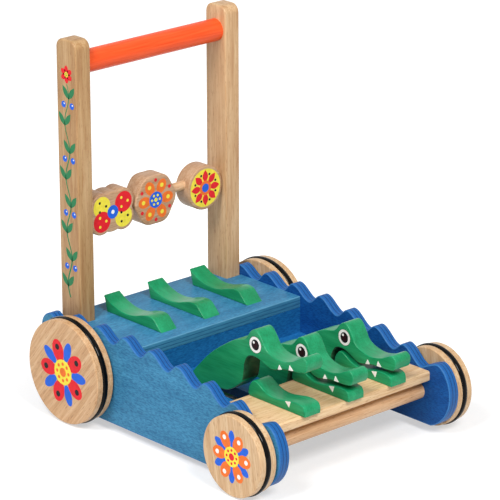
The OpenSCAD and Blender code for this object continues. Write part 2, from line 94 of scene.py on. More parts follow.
def streaks(tree, size_mm, turn=(0, 0, 0), detail=3.0):
    """Noise drawn out along the grain: size_mm is the length of one streak along X, Y and Z."""
    place = add(tree, "TexCoord").outputs["Object"]
    drawn = add(
        tree, "Mapping", {"Vector": place, "Rotation": turn, "Scale": [s * MM for s in size_mm]},
        vector_type="TEXTURE",
    )
    noise = {"Vector": drawn.outputs[0], "Scale": 1.0, "Detail": detail}
    return add(tree, "TexNoise", noise).outputs["Fac"]


def smooth_curve(points, closed, steps):
    """Curve through the points: on each span a cubic whose slope at a point is half the step
    between that point's two neighbours."""
    p = np.asarray(points, float)
    if closed:
        a, b, c, d = np.roll(p, 1, 0), p, np.roll(p, -1, 0), np.roll(p, -2, 0)
    else:
        ends = np.vstack([p[:1], p, p[-1:]])
        a, b, c, d = ends[:-3], ends[1:-2], ends[2:-1], ends[3:]
    a, b, c, d = (q[:, None, :] for q in (a, b, c, d))
    t = np.arange(steps)[None, :, None] / steps
    cubic = 2 * b + (c - a) * t + (2 * a - 5 * b + 4 * c - d) * t**2 + (3 * b - a - 3 * c + d) * t**3
    curve = cubic.reshape(-1, 2) / 2
    return curve if closed else np.vstack([curve, p[-1:]])


def arc(centre, radius, start, stop, steps):
    """Points of a circle about the centre, at even angles from start to stop."""
    angle = np.linspace(start, stop, steps + 1)
    return np.stack([centre[0] + radius * np.cos(angle), centre[1] + radius * np.sin(angle)], 1)


def grid_faces(rows, columns, wrap_columns):
    """Quads of a grid of points that closes on itself along its rows and, if asked, its columns."""
    i = np.arange(rows)[:, None]
    j = np.arange(columns if wrap_columns else columns - 1)[None, :]
    i_next, j_next = (i + 1) % rows, (j + 1) % columns
    corners = [i * columns + j, i_next * columns + j, i_next * columns + j_next, i * columns + j_next]
    return np.stack(np.broadcast_arrays(*corners), -1).reshape(-1, 4)


def plate(outline, span, ease, axes, steps=5):
    """Plate cut to an outline. Each outline point carries the same section across the edge: a quarter
    circle of radius ease, the straight edge, and a second quarter circle; flat faces close it.
    axes are the outline's two axes and the one across. Gives the points, the share of the thickness
    at which each stands, the quads of the edge, and the flat faces."""
    p = np.asarray(outline, float)
    forward = np.roll(p, -1, 0) - p
    if np.sum(p[:, 0] * forward[:, 1] - p[:, 1] * forward[:, 0]) < 0:
        p = p[::-1]
        forward = np.roll(p, -1, 0) - p
    after = np.stack([forward[:, 1], -forward[:, 0]], 1)
    after /= np.linalg.norm(after, axis=1, keepdims=True)
    before = np.roll(after, 1, 0)
    mitre = (after + before) / (1 + np.sum(after * before, 1, keepdims=True))
    angle = np.linspace(0, np.pi / 2, steps + 1)
    inset = ease * np.concatenate([1 - np.sin(angle), 1 - np.cos(angle)])
    across = np.concatenate([span[0] + ease * (1 - np.cos(angle)), span[1] - ease * (1 - np.sin(angle))])
    points = np.empty((len(p), len(inset), 3))
    points[..., axes[:2]] = p[:, None, :] - mitre[:, None, :] * inset[None, :, None]
    points[..., axes[2]] = across
    share = np.tile((across - span[0]) / (span[1] - span[0]), len(p))
    first = np.arange(len(p)) * len(inset)
    sides = grid_faces(len(p), len(inset), False)
    return points.reshape(-1, 3), share, sides, np.stack([first, first + len(inset) - 1])


def build(name, surfaces, materials, body, stands_for=()):
    """One piece from surfaces, each (shape, material of its sides or one for each of their quads,
    materials of its flat faces): joined, seams merged, turned outwards, then put on its body. The share
    of the thickness is kept with the points as the attribute "across"."""
    points, shares, faces, smooth, finish, start = [], [], [], [], [], 0
    for (surface_points, share, sides, flats), side_finish, flat_finishes in surfaces:
        points.append(surface_points * MM)
        shares.append(share)
        faces += (sides + start).tolist() + (flats + start).tolist()
        smooth += [True] * len(sides) + [False] * len(flats)
        finish += np.broadcast_to(side_finish, len(sides)).tolist() + list(flat_finishes)
        start += len(surface_points)
    mesh = bpy.data.meshes.new(name)
    mesh.from_pydata(np.vstack(points).tolist(), [], faces)
    mesh.attributes.new("across", "FLOAT", "POINT").data.foreach_set("value", np.concatenate(shares))
    mesh.polygons.foreach_set("use_smooth", smooth)
    mesh.polygons.foreach_set("material_index", finish)
    work = bmesh.new()
    work.from_mesh(mesh)
    bmesh.ops.remove_doubles(work, verts=work.verts, dist=SEAM_GAP)
    bmesh.ops.recalc_face_normals(work, faces=work.faces)
    work.to_mesh(mesh)
    work.free()
    mesh.set_sharp_from_angle(angle=SHARP_ANGLE)
    for material in materials:
        mesh.materials.append(material)
    piece = bpy.data.objects.new(name, mesh)
    bpy.context.scene.collection.objects.link(piece)
    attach(piece, body)
    if stands_for:
        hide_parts(*stands_for)


def stained_veneer(name, along, tones):
    """Birch veneer under blue water stain, with its grain along X, Y or Z (0, 1 or 2). The soft early
    wood drinks more stain, so faint broad streaks run along the sheet under fine darker fibres. The
    stain leaves the fibre open, so the lacquer stays satin. tones run from deep to pale."""
    material, tree = new_material(name)
    # Fibres are 0.3 mm wide in birch; they are drawn 1.3 mm wide to show at this size, and short,
    # because they run out of a peeled sheet at a slant
    broad, fibre = np.full(3, 14.0), np.full(3, 1.3)
    broad[along], fibre[along] = 110.0, 5.0
    figure = add(tree, "ValToRGB", {"Fac": streaks(tree, broad)}, list(zip((0.2, 0.5, 0.8), tones)))
    fine = streaks(tree, fibre, detail=2.0)
    grain = add(tree, "ValToRGB", {"Fac": fine}, [(0.32, "#A2B6C6"), (0.62, "#FFFFFF")])
    colour = add(tree, "Mix", {0: 0.8, 6: figure.outputs[0], 7: grain.outputs[0]}, data_type="RGBA",
                 blend_type="MULTIPLY")
    bump = add(tree, "Bump", {"Height": fine, "Strength": 0.2, "Distance": 0.0002})
    rough = add(tree, "MapRange", {"Value": fine, "To Min": 0.4, "To Max": 0.56})
    shader = add(tree, "BsdfPrincipled", {
        "Base Color": colour.outputs[2], "Roughness": rough.outputs[0], "Normal": bump.outputs[0],
        "IOR": 1.5, "Specular IOR Level": 0.16,
    })
    add(tree, "OutputMaterial", {"Surface": shader.outputs[0]})
    return material


def stained_ply_edge(name, along, tones):
    """Sawn edge of the stained sheet: three long plies between two thin cross plies, whose end grain
    takes the stain darker, and pale corners where the sanding went through. tones are (corner, ply,
    cross ply); the plies follow the share of the thickness."""
    material, tree = new_material(name)
    corner, ply, cross = tones
    depth = add(tree, "Attribute", attribute_name="across").outputs["Fac"]
    plies = add(tree, "ValToRGB", {"Fac": depth}, [
        (0.0, corner), (0.08, ply), (0.28, ply), (0.31, cross), (0.36, cross), (0.39, ply), (0.61, ply),
        (0.64, cross), (0.69, cross), (0.72, ply), (0.92, ply), (1.0, corner),
    ])
    # Fibres are drawn 1.6 mm wide, coarser than the real 0.3 mm, to show at this size
    fibre = np.full(3, 1.6)
    fibre[along] = 16.0
    fine = streaks(tree, fibre, detail=2.0)
    grain = add(tree, "ValToRGB", {"Fac": fine}, [(0.34, "#CFD8E0"), (0.6, "#FFFFFF")])
    colour = add(tree, "Mix", {0: 0.7, 6: plies.outputs[0], 7: grain.outputs[0]}, data_type="RGBA",
                 blend_type="MULTIPLY")
    bump = add(tree, "Bump", {"Height": fine, "Strength": 0.25, "Distance": 0.0002})
    shader = add(tree, "BsdfPrincipled", {
        "Base Color": colour.outputs[2], "Roughness": 0.46, "Normal": bump.outputs[0], "IOR": 1.5,
        "Specular IOR Level": 0.25,
    })
    add(tree, "OutputMaterial", {"Surface": shader.outputs[0]})
    return material


# Along the top, wave u of the sheet starts at a crest. The crests follow a parabola, and each wave falls
# over the skewed share of its length and rises over the rest, both as half a cosine.
wave_run = WAVES - 1 + WAVE_SKEW
u = np.linspace(WAVE_START, wave_run, WAVE_POINTS)
share = u % 1
phase = np.where(share < WAVE_SKEW, share / WAVE_SKEW, 1 + (share - WAVE_SKEW) / (1 - WAVE_SKEW)) / 2
crest_line = CREST_TOP - CREST_FALL * ((u - HIGH_CREST) / (WAVES - HIGH_CREST)) ** 2
corner_y = REAR_EDGE - REAR_ROUND
wave_y = np.linspace(corner_y, LAST_TROUGH, len(u))
waves = np.stack([wave_y, crest_line - WAVE_DEPTH * (1 - np.cos(2 * np.pi * phase)) / 2], 1)
nose = arc((0, 0), NOSE_R, NOSE_ARC_TOP, math.asin((PANEL_LIFT - NOSE_Z) / NOSE_R), NOSE_STEPS)
nose = np.array([NOSE_Y, NOSE_Z]) + nose * (-1, 1)
brow = smooth_curve([waves[-1], NOSE_BROW, nose[0]], False, BROW_STEPS)
panel_outline = np.vstack([
    arc((corner_y, waves[0, 1] - REAR_ROUND), REAR_ROUND, 0, np.pi / 2, CORNER_STEPS)[:-1],
    waves[:-1], brow[:-1], nose,
    arc((corner_y, PANEL_LIFT + REAR_ROUND), REAR_ROUND, -np.pi / 2, 0, CORNER_STEPS),
])
YZ_ACROSS_X, XY_ACROSS_Z, XZ_ACROSS_Y = [1, 2, 0], [0, 1, 2], [0, 2, 1]
# The sheets' good face is outside; the inner faces get a darker, deeper blue copy of the stain, as painted
# shade of the pit they face
panel_face = stained_veneer("blue_stained_birch_outside", 1, ("#367AA2", "#4087AE", "#4B95BC"))
panel_inside_painted_shade = stained_veneer("blue_stained_birch_inside_painted_shade", 1, ("#0D478A", "#115094", "#175A9F"))
panel_edge = stained_ply_edge("blue_stained_panel_edge", 1, ("#3878B4", "#1A60A4", "#0B3C74"))
panel_finishes = [panel_face, panel_edge, panel_inside_painted_shade]
for name, span, faces in (
    ("left_side_panel", (-PANEL_OUT, -PANEL_IN), (0, 2)),
    ("right_side_panel", (PANEL_IN, PANEL_OUT), (2, 0)),
):
    sheet = plate(panel_outline, span, PANEL_EASE, YZ_ACROSS_X)
    build(name + "_sanded", [(sheet, 1, faces)], panel_finishes, "frame", [name])

# Deck, front wall, floor and back. The same blue plywood, cut square: the deck lies on the wall and is
# notched round the posts, wall and slotted floor close the gator pit, and a thinner sheet closes the back.
DECK_TOP, DECK_UNDER = 121.4, 106.4
DECK_FRONT, DECK_BACK = 48.55, 206.55
NOTCH_X, NOTCH_Y = 113.5, 165.4
DECK_EASE, DECK_CORNER = 1.2, 2.0


def softened(corners, radius, steps=4):
    """Polygon whose corners are arcs of the radius: each arc starts where the arriving edge is one
    tangent length short of the corner, and turns about a centre at right angles to that edge."""
    c = np.asarray(corners, float)
    leaving = np.roll(c, -1, 0) - c
    leaving /= np.linalg.norm(leaving, axis=1, keepdims=True)
    arriving = np.roll(leaving, 1, 0)
    cross = arriving[:, 0] * leaving[:, 1] - arriving[:, 1] * leaving[:, 0]
    turn = np.arctan2(cross, np.sum(arriving * leaving, 1))
    start = c - arriving * (radius * np.tan(np.abs(turn) / 2))[:, None]
    inward = np.sign(turn)[:, None] * np.stack([-arriving[:, 1], arriving[:, 0]], 1)
    arm = -inward * radius
    angle = turn[:, None] * np.linspace(0, 1, steps + 1)
    cos, sin = np.cos(angle), np.sin(angle)
    swung = np.stack([arm[:, :1] * cos - arm[:, 1:] * sin, arm[:, :1] * sin + arm[:, 1:] * cos], -1)
    return ((start + inward * radius)[:, None, :] + swung).reshape(-1, 2)


def dress(material, *nodes):
    """Puts a finish on CAD pieces whose shape is right as it is."""
    for node in nodes:
        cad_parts[node].data.materials.clear()
        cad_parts[node].data.materials.append(material)


# The ends reach into the panels by the easing, so that the joints stay closed
deck_end = PANEL_IN + DECK_EASE
deck_outline = softened([
    (-deck_end, DECK_FRONT), (deck_end, DECK_FRONT), (deck_end, NOTCH_Y), (NOTCH_X, NOTCH_Y),
    (NOTCH_X, DECK_BACK), (-NOTCH_X, DECK_BACK), (-NOTCH_X, NOTCH_Y), (-deck_end, NOTCH_Y),
], DECK_CORNER)
deck_face = stained_veneer("blue_stained_birch_crosswise", 0, ("#347AA4", "#4088B0", "#4C96BE"))
# Front wall, back and floor get a darker, more saturated copy of the blue stain: painted shade of the pit,
# with painted blue bounce light
pit_face_painted_shade = stained_veneer("blue_stained_birch_pit_painted_shade", 0, ("#1A66A0", "#1E6DA8", "#2475B1"))
deck_edge = stained_ply_edge("blue_stained_deck_edge", 0, ("#63A0BE", "#4286AA", "#29678D"))
sheet = plate(deck_outline, (DECK_UNDER, DECK_TOP), DECK_EASE, XY_ACROSS_Z)
build("deck_sanded", [(sheet, 1, (0, 0))], [deck_face, deck_edge], "frame", ["deck"])
dress(pit_face_painted_shade, "front_wall", "back_panel", "floor_panel")

# Jaw board. A planed rubberwood board between the panels, rounded along its front edge and sealed with
# clear satin lacquer.
BOARD_FRONT, BOARD_BACK = -190.65, -94.15
BOARD_UNDER, BOARD_TOP = 71.5, 85.2
BOARD_ROUND, BOARD_BACK_ROUND, BOARD_END_EASE = 3.0, 1.0, 0.4


def clear_wood(name, along, tones, turn=(0, 0, 0)):
    """Rubberwood under clear lacquer: soft bands some ten centimetres long, fine fibres, and the short
    dark pores that mark this wood. along is the grain's axis, turn swings it round, tones run from deep
    to pale."""
    material, tree = new_material(name)
    band, fibre, pore = np.full(3, 7.0), np.full(3, 1.7), np.full(3, 1.1)
    band[along], fibre[along], pore[along] = 120.0, 40.0, 10.0
    figure = add(tree, "ValToRGB", {"Fac": streaks(tree, band, turn)}, list(zip((0.3, 0.5, 0.7), tones)))
    fine = streaks(tree, fibre, turn, 2.0)
    grain = add(tree, "ValToRGB", {"Fac": fine}, [(0.32, "#E6D2BC"), (0.58, "#FFFFFF")])
    # Pores are 0.2 mm and fibres 0.3 mm wide; they are drawn 1.1 and 1.7 mm wide to show at this size
    pores = add(tree, "ValToRGB", {"Fac": streaks(tree, pore, turn, 1.0)},
                [(0.28, "#B58A5E"), (0.38, "#FFFFFF")])
    colour = add(tree, "Mix", {0: 0.7, 6: figure.outputs[0], 7: grain.outputs[0]}, data_type="RGBA",
                 blend_type="MULTIPLY")
    colour = add(tree, "Mix", {0: 0.5, 6: colour.outputs[2], 7: pores.outputs[0]}, data_type="RGBA",
                 blend_type="MULTIPLY")
    bump = add(tree, "Bump", {"Height": fine, "Strength": 0.15, "Distance": 0.0002})
    rough = add(tree, "MapRange", {"Value": fine, "To Min": 0.36, "To Max": 0.5})
    shader = add(tree, "BsdfPrincipled", {
        "Base Color": colour.outputs[2], "Roughness": rough.outputs[0], "Normal": bump.outputs[0],
        "IOR": 1.5, "Specular IOR Level": 0.4,
    })
    add(tree, "OutputMaterial", {"Surface": shader.outputs[0]})
    return material


board_wood = clear_wood("rubberwood_board", 0, ("#DDB788", "#E4C296", "#EBCDA3"))
board_outline = np.vstack([
    arc((BOARD_FRONT + BOARD_ROUND, BOARD_TOP - BOARD_ROUND), BOARD_ROUND, np.pi / 2, np.pi, 8),
    arc((BOARD_FRONT + BOARD_ROUND, BOARD_UNDER + BOARD_ROUND), BOARD_ROUND, np.pi, 1.5 * np.pi, 8),
    arc((BOARD_BACK - BOARD_BACK_ROUND, BOARD_UNDER + BOARD_BACK_ROUND), BOARD_BACK_ROUND,
        1.5 * np.pi, 2 * np.pi, 4),
    arc((BOARD_BACK - BOARD_BACK_ROUND, BOARD_TOP - BOARD_BACK_ROUND), BOARD_BACK_ROUND, 0, np.pi / 2, 4),
])
board = plate(board_outline, (-PANEL_IN, PANEL_IN), BOARD_END_EASE, YZ_ACROSS_X)
build("jaw_board_planed", [(board, 0, (0, 0))], [board_wood], "frame", ["jaw_board"])

# Axles, rods, cams and sleeves. Turned dowels of the same wood: the axles turn in the panels and carry
# the wheels, spinner rod and pivot rod sit in blind holes of the posts, and the cams are glued on the
# rear axle.
AXLE_END, REAR_AXLE_D, FRONT_AXLE_D = 172.3, 16.0, 22.0
REAR_Y, REAR_R = 149.85, 70.8
FRONT_Y, FRONT_R = -170.95, 53.9
POST_Y = 185.15
ROD_END, SPIN_ROD_D, SPIN_ROD_Z = 126.5, 12.7, 260.5
CHAMFER = 0.5


def turned(profile, y, z, closed=False, steps=96):
    """Turned piece about a line along X at (y, z): a profile of (x, radius) swung round that line."""
    x, r = np.asarray(profile, float).T
    angle = np.linspace(0, 2 * np.pi, steps, endpoint=False)[:, None]
    points = np.stack(np.broadcast_arrays(x[None], y + r * np.cos(angle), z + r * np.sin(angle)), -1)
    share = np.tile(np.linspace(0, 1, len(x)), steps)
    return points.reshape(-1, 3), share, grid_faces(steps, len(x), closed), np.empty((0, 0), int)


def dowel(end, diameter, y, z):
    """Dowel from -end to end, with both ends chamfered."""
    r, cut = diameter / 2, CHAMFER
    profile = [(-end, 0), (-end, r - cut), (-end + cut, r), (end - cut, r), (end, r - cut), (end, 0)]
    return turned(profile, y, z)


dowel_wood = clear_wood("rubberwood_dowel", 0, ("#CDA277", "#D8AF86", "#E1BD96"))
for name, end, diameter, y, z, body in (
    ("rear_axle", AXLE_END, REAR_AXLE_D, REAR_Y, REAR_R, "rear_axle"),
    ("front_axle", AXLE_END, FRONT_AXLE_D, FRONT_Y, FRONT_R, "front_axle"),
    ("spinner_rod", ROD_END, SPIN_ROD_D, POST_Y, SPIN_ROD_Z, "frame"),
):
    rod = dowel(end, diameter, y, z)
    build(name + "_turned", [(rod, 0, ())], [dowel_wood], body, [name])
dress(dowel_wood, "pivot_rod", "pivot_sleeves", "panel_dowels", "left_cam", "middle_cam", "right_cam")

# Washers and bolts. Moulded black nylon washers keep the wheels off the panels, and zinc-plated bolts
# hold the posts from outside, hidden behind the rear wheels.
nylon, tree = new_material("black_nylon_moulded")
# Moulded nylon is a soft, slightly mottled black with a low shine
haze = streaks(tree, (3.0, 3.0, 3.0))
shader = add(tree, "BsdfPrincipled", {
    "Base Color": add(tree, "ValToRGB", {"Fac": haze}, [(0.3, "#141414"), (0.7, "#1F1F1F")]).outputs[0],
    "Roughness": 0.45, "IOR": 1.53,
})
add(tree, "OutputMaterial", {"Surface": shader.outputs[0]})
dress(nylon, "rear_washers", "front_washers")
zinc, tree = new_material("steel_zinc_plated")
# Zinc plating is a bluish grey metal with cloudy gloss
haze = streaks(tree, (2.0, 2.0, 2.0))
shader = add(tree, "BsdfPrincipled", {
    "Base Color": add(tree, "ValToRGB", {"Fac": haze}, [(0.3, "#A9ADB0"), (0.7, "#C8CBCD")]).outputs[0],
    "Roughness": add(tree, "MapRange", {"Value": haze, "To Min": 0.24, "To Max": 0.42}).outputs[0],
    "Metallic": 1.0,
})
add(tree, "OutputMaterial", {"Surface": shader.outputs[0]})
dress(zinc, "post_bolts")

# Wheels. Discs of pale rubberwood, with rims rounded by sanding and a groove turned round each for its
# rubber ring, pressed blind on the axle ends.
WHEEL_IN, WHEEL_T = 156.3, 26.0
RIM_ROUND, TYRE_T, TYRE_W, TYRE_PROUD, GROOVE_GAP = 1.3, 7.0, 9.5, 1.8, 0.1
RIM_RING, WHEEL_STEPS, RING_STEPS = 0.3, 144, 24
WHEELS = [
    ("left_rear", "rear_axle", -1, REAR_Y, REAR_R), ("right_rear", "rear_axle", 1, REAR_Y, REAR_R),
    ("left_front", "front_axle", -1, FRONT_Y, FRONT_R),
    ("right_front", "front_axle", 1, FRONT_Y, FRONT_R),
]
PALE_TURN, RED_TURN = (math.radians(82), 0, 0), (math.radians(-50), 0, 0)
# The left rear wheel gets a redder, a little darker wood than the others, and stands with its grain aslant
pale_disc = clear_wood("rubberwood_wheel_pale", 1, ("#C8A277", "#D3B188", "#DDC19B"), PALE_TURN)
red_disc = clear_wood("rubberwood_wheel_red", 1, ("#C0966A", "#CFA77C", "#DAB78F"), RED_TURN)
rubber, tree = new_material("black_rubber_moulded")
# Moulded rubber ring: deep black with the shine of its mould, and a little uneven
haze = streaks(tree, (6.0, 6.0, 6.0))
shader = add(tree, "BsdfPrincipled", {
    "Base Color": add(tree, "ValToRGB", {"Fac": haze}, [(0.35, "#030303"), (0.7, "#090909")]).outputs[0],
    "Roughness": add(tree, "MapRange", {"Value": haze, "To Min": 0.05, "To Max": 0.1}).outputs[0],
    "IOR": 1.52, "Specular IOR Level": 0.1,
})
add(tree, "OutputMaterial", {"Surface": shader.outputs[0]})


def wheel_profile(r):
    """Section of a wheel as (x, radius): inner face, rounded rim, groove, rim, outer face. A ring of
    points just inside each rim keeps the faces flat to the eye."""
    rim, inner, outer = r - TYRE_PROUD, WHEEL_IN, WHEEL_IN + WHEEL_T
    groove_r = TYRE_T / 2 + GROOVE_GAP
    lip = math.asin((rim - (r - TYRE_T / 2)) / groove_r)
    groove = arc((0, r - TYRE_T / 2), groove_r, np.pi - lip, 2 * np.pi + lip, RING_STEPS)
    return np.vstack([
        [(inner, 0), (inner, rim - RIM_ROUND - RIM_RING)],
        arc((inner + RIM_ROUND, rim - RIM_ROUND), RIM_ROUND, np.pi, np.pi / 2, 8),
        groove * (TYRE_W / TYRE_T, 1) + (inner + WHEEL_T / 2, 0),
        arc((outer - RIM_ROUND, rim - RIM_ROUND), RIM_ROUND, np.pi / 2, 0, 8),
        [(outer, rim - RIM_ROUND - RIM_RING), (outer, 0)],
    ])


for name, body, side, y, r in WHEELS:
    disc = turned(wheel_profile(r) * (side, 1), y, r, steps=WHEEL_STEPS)
    wood = red_disc if name == "left_rear" else pale_disc
    build(name + "_wheel_turned", [(disc, 0, ())], [wood], body, [name + "_wheel"])
    ring = arc((0, r - TYRE_T / 2), TYRE_T / 2, 0, 2 * np.pi, RING_STEPS)[:-1] * (TYRE_W / TYRE_T, 1)
    band = turned(ring + (side * (WHEEL_IN + WHEEL_T / 2), 0), y, r, closed=True, steps=WHEEL_STEPS)
    build(name + "_tyre_moulded", [(band, 0, ())], [rubber], body, [name + "_tyre"])

# Wheel prints. Flat screen-printed flowers in child-safe inks, one colour after another, each a thin
# film on the outer face of its wheel.
FILM = 0.05
INKS = {
    "red": "#E8242F", "orange": "#F4772E", "yellow": "#F8E64A", "blue": "#2566DC", "black": "#171618",
    "green": "#2F7F52", "white": "#FBFAF5", "brown": "#2B1216",
}


def printing_ink(name, colour):
    """Screen ink: opaque and satin, a little uneven where the wood drank it."""
    material, tree = new_material(name)
    cover = streaks(tree, (5.0, 5.0, 5.0))
    uneven = add(tree, "ValToRGB", {"Fac": cover}, [(0.3, "#EEEEEE"), (0.65, "#FFFFFF")])
    shade = add(tree, "Mix", {0: 1.0, 6: linear(colour), 7: uneven.outputs[0]}, data_type="RGBA",
                blend_type="MULTIPLY")
    rough = add(tree, "MapRange", {"Value": cover, "To Min": 0.36, "To Max": 0.5})
    shader = add(tree, "BsdfPrincipled", {
        "Base Color": shade.outputs[2], "Roughness": rough.outputs[0], "IOR": 1.5,
        "Specular IOR Level": 0.15,
    })
    add(tree, "OutputMaterial", {"Surface": shader.outputs[0]})
    return material


ink = {name: printing_ink("screen_ink_" + name, colour) for name, colour in INKS.items()}
INK_ORDER = list(INKS)


def oval(centre, radii, turn=0.0, points=48):
    """Ellipse about a centre, its first radius along the direction turn."""
    angle = np.linspace(0, 2 * np.pi, points, endpoint=False)
    along, over = radii[0] * np.cos(angle), radii[1] * np.sin(angle)
    cos, sin = math.cos(turn), math.sin(turn)
    return np.stack([centre[0] + along * cos - over * sin, centre[1] + along * sin + over * cos], 1)


def around(count, distance, start=0.0):
    """Places round a circle, as (angle, point)."""
    angles = start + 2 * np.pi * np.arange(count) / count
    return [(a, (distance * math.cos(a), distance * math.sin(a))) for a in angles]


def leaf(base, tip, width, points=24):
    """Leaf from base to tip: its half width is a sine along its length."""
    t = np.linspace(0, 1, points)
    base, step = np.array(base, float), np.subtract(tip, base)
    side = np.array([-step[1], step[0]]) / np.linalg.norm(step)
    rise = (width / 2 * np.sin(np.pi * t))[:, None] * side
    spine = base + t[:, None] * step
    return np.vstack([(spine + rise)[:-1], (spine - rise)[:0:-1]])


def print_on(name, layers, place, face, axes, body):
    """Ink films on a flat face: each layer is (ink, outlines), one film thickness above the last.
    place moves an outline to the face's axes; face is the face's own coordinate and its outward sign."""
    surfaces = []
    for height, (colour, outlines) in enumerate(layers, 1):
        span = sorted((face[0] - face[1] * FILM, face[0] + face[1] * FILM * height))
        for outline in outlines:
            film = plate(place(outline), span, FILM / 3, axes, steps=1)
            finish = INK_ORDER.index(colour)
            surfaces.append((film, finish, (finish, finish)))
    build(name, surfaces, list(ink.values()), body)


def flower(size, petals, outer, inner, between, heart, dots):
    """Flower of two petal rings: outer petals with a dot each, a ring of small petals between them, and a
    dotted heart, all as shares of size, its radius in mm. The other values are the count and the inks."""
    half = math.pi / petals
    return [
        (between, [oval(p, (0.3 * size, 0.15 * size), a) for a, p in around(petals, 0.66 * size, half)]),
        (outer, [oval(p, (0.32 * size, 0.23 * size), a) for a, p in around(petals, 0.62 * size)]),
        (dots, [oval(p, (0.085 * size, 0.085 * size)) for a, p in around(petals, 0.72 * size)]),
        (inner, [oval((0, 0), (0.36 * size, 0.36 * size))]),
        (heart, [oval((0, 0), (0.13 * size, 0.13 * size))]
            + [oval(p, (0.05 * size, 0.05 * size)) for a, p in around(8, 0.24 * size)]),
    ]


rear_flower = flower(47.0, 5, "red", "yellow", "blue", "orange", "black")
front_flower = flower(36.0, 6, "orange", "yellow", "blue", "red", "white")
for name, body, side, y, r in WHEELS:
    layers = rear_flower if body == "rear_axle" else front_flower
    face = (side * (WHEEL_IN + WHEEL_T), side)
    print_on(name + "_wheel_print", layers, lambda o: o + (y, r), face, YZ_ACROSS_X, body)

# Handle posts. Two rubberwood laths with round tops, bolted inside the panels, a little redder than
# the board; a vine is screen-printed down the outer face of each.
POST_IN = 113.6
POST_D, POST_FOOT, POST_TOP, POST_ROUND = 38.5, 34.0, 495.0, 12.0
POST_EASE = 2.2
front, back = POST_Y - POST_D / 2, POST_Y + POST_D / 2
post_outline = np.vstack([
    arc((back - POST_ROUND, POST_TOP - POST_ROUND), POST_ROUND, 0, np.pi / 2, 14),
    arc((front + POST_ROUND, POST_TOP - POST_ROUND), POST_ROUND, np.pi / 2, np.pi, 14),
    [(front, POST_FOOT), (back, POST_FOOT)],
])
VINE_FOOT, VINE_TOP, VINE_WAVE, VINE_SWAY = 152.0, 438.0, 72.0, 4.5
STEM_POINTS, STEM_HALF = 120, (1.3, 0.7)
LEAF_START, LEAF_OUT, LEAF_RISE, LEAF_W = 14, 11.5, 17, 8.0
BERRY_START, BERRY_OUT, BERRY_R, BLOOM_RISE = 42, 8.0, 4.2, 12


def vine_y(z):
    """Sway of the vine's stem from the middle of the post: a sine of the height."""
    return VINE_SWAY * np.sin(2 * np.pi * (np.asarray(z, float) - VINE_FOOT) / VINE_WAVE)


stem_z = np.linspace(VINE_FOOT, VINE_TOP, STEM_POINTS)
stem_half = np.linspace(*STEM_HALF, STEM_POINTS)
stem = np.vstack([
    np.stack([vine_y(stem_z) - stem_half, stem_z], 1),
    np.stack([vine_y(stem_z) + stem_half, stem_z], 1)[::-1],
])
leaf_z = np.arange(VINE_FOOT + LEAF_START, VINE_TOP - LEAF_RISE, VINE_WAVE / 2)
leaves = [
    leaf((vine_y(z), z), (vine_y(z) + side * LEAF_OUT, z + LEAF_RISE), LEAF_W)
    for z in leaf_z for side in (-1, 1)
]
berry_z = np.arange(VINE_FOOT + BERRY_START, VINE_TOP, VINE_WAVE)
berries = [(vine_y(z) + side * BERRY_OUT, z) for z in berry_z for side in (-1, 1)]
bloom = (float(vine_y(VINE_TOP)), VINE_TOP + BLOOM_RISE)
vine = [
    ("green", [stem] + leaves),
    ("blue", [oval(p, (BERRY_R, BERRY_R)) for p in berries]),
    ("white", [oval(np.add(p, (-1.2, 1.4)), (1.1, 1.1), points=20) for p in berries]),
    ("red", [oval(np.add(bloom, p), (5.4, 3.6), a) for a, p in around(6, 6.0, 0.5)]),
    ("yellow", [oval(bloom, (3.6, 3.6))]),
    ("black", [oval(np.add(bloom, p), (0.7, 0.7), points=16) for a, p in around(5, 2.0)]),
]
for name, side, tones in (
    ("left_post", -1, ("#A67D53", "#B48F62", "#C29F74")),
    ("right_post", 1, ("#C39A70", "#CFAA80", "#DAB990")),
):
    wood = clear_wood("rubberwood_" + name, 2, tones)
    lath = plate(post_outline, sorted((side * POST_IN, side * PANEL_IN)), POST_EASE, YZ_ACROSS_X)
    build(name + "_planed", [(lath, 0, (0, 0))], [wood], "frame", [name])
    print_on(name + "_print", vine, lambda o: o + (POST_Y, 0), (side * PANEL_IN, side), YZ_ACROSS_X,
             "frame")

# Handle bar. A 30 mm hardwood dowel, dipped in orange enamel and glued into blind holes near the tops of
# the posts, which it holds apart.
HANDLE_D, HANDLE_Z = 30.0, 461.0
orange_enamel, tree = new_material("orange_enamel_dipped")
# Dipped enamel: even and satin, with the wood's long fibres just felt through it
fine = streaks(tree, (60.0, 2.2, 2.2), detail=2.0)
bump = add(tree, "Bump", {"Height": fine, "Strength": 0.12, "Distance": 0.0002})
shader = add(tree, "BsdfPrincipled", {
    "Base Color": add(tree, "ValToRGB", {"Fac": fine}, [(0.3, "#E24817"), (0.7, "#F45D2A")]).outputs[0],
    "Roughness": add(tree, "MapRange", {"Value": fine, "To Min": 0.3, "To Max": 0.42}).outputs[0],
    "Normal": bump.outputs[0], "IOR": 1.5, "Specular IOR Level": 0.25,
})
add(tree, "OutputMaterial", {"Surface": shader.outputs[0]})
bar = dowel(ROD_END, HANDLE_D, POST_Y, HANDLE_Z)
build("handle_bar_painted", [(bar, 0, ())], [orange_enamel], "frame", ["handle_bar"])

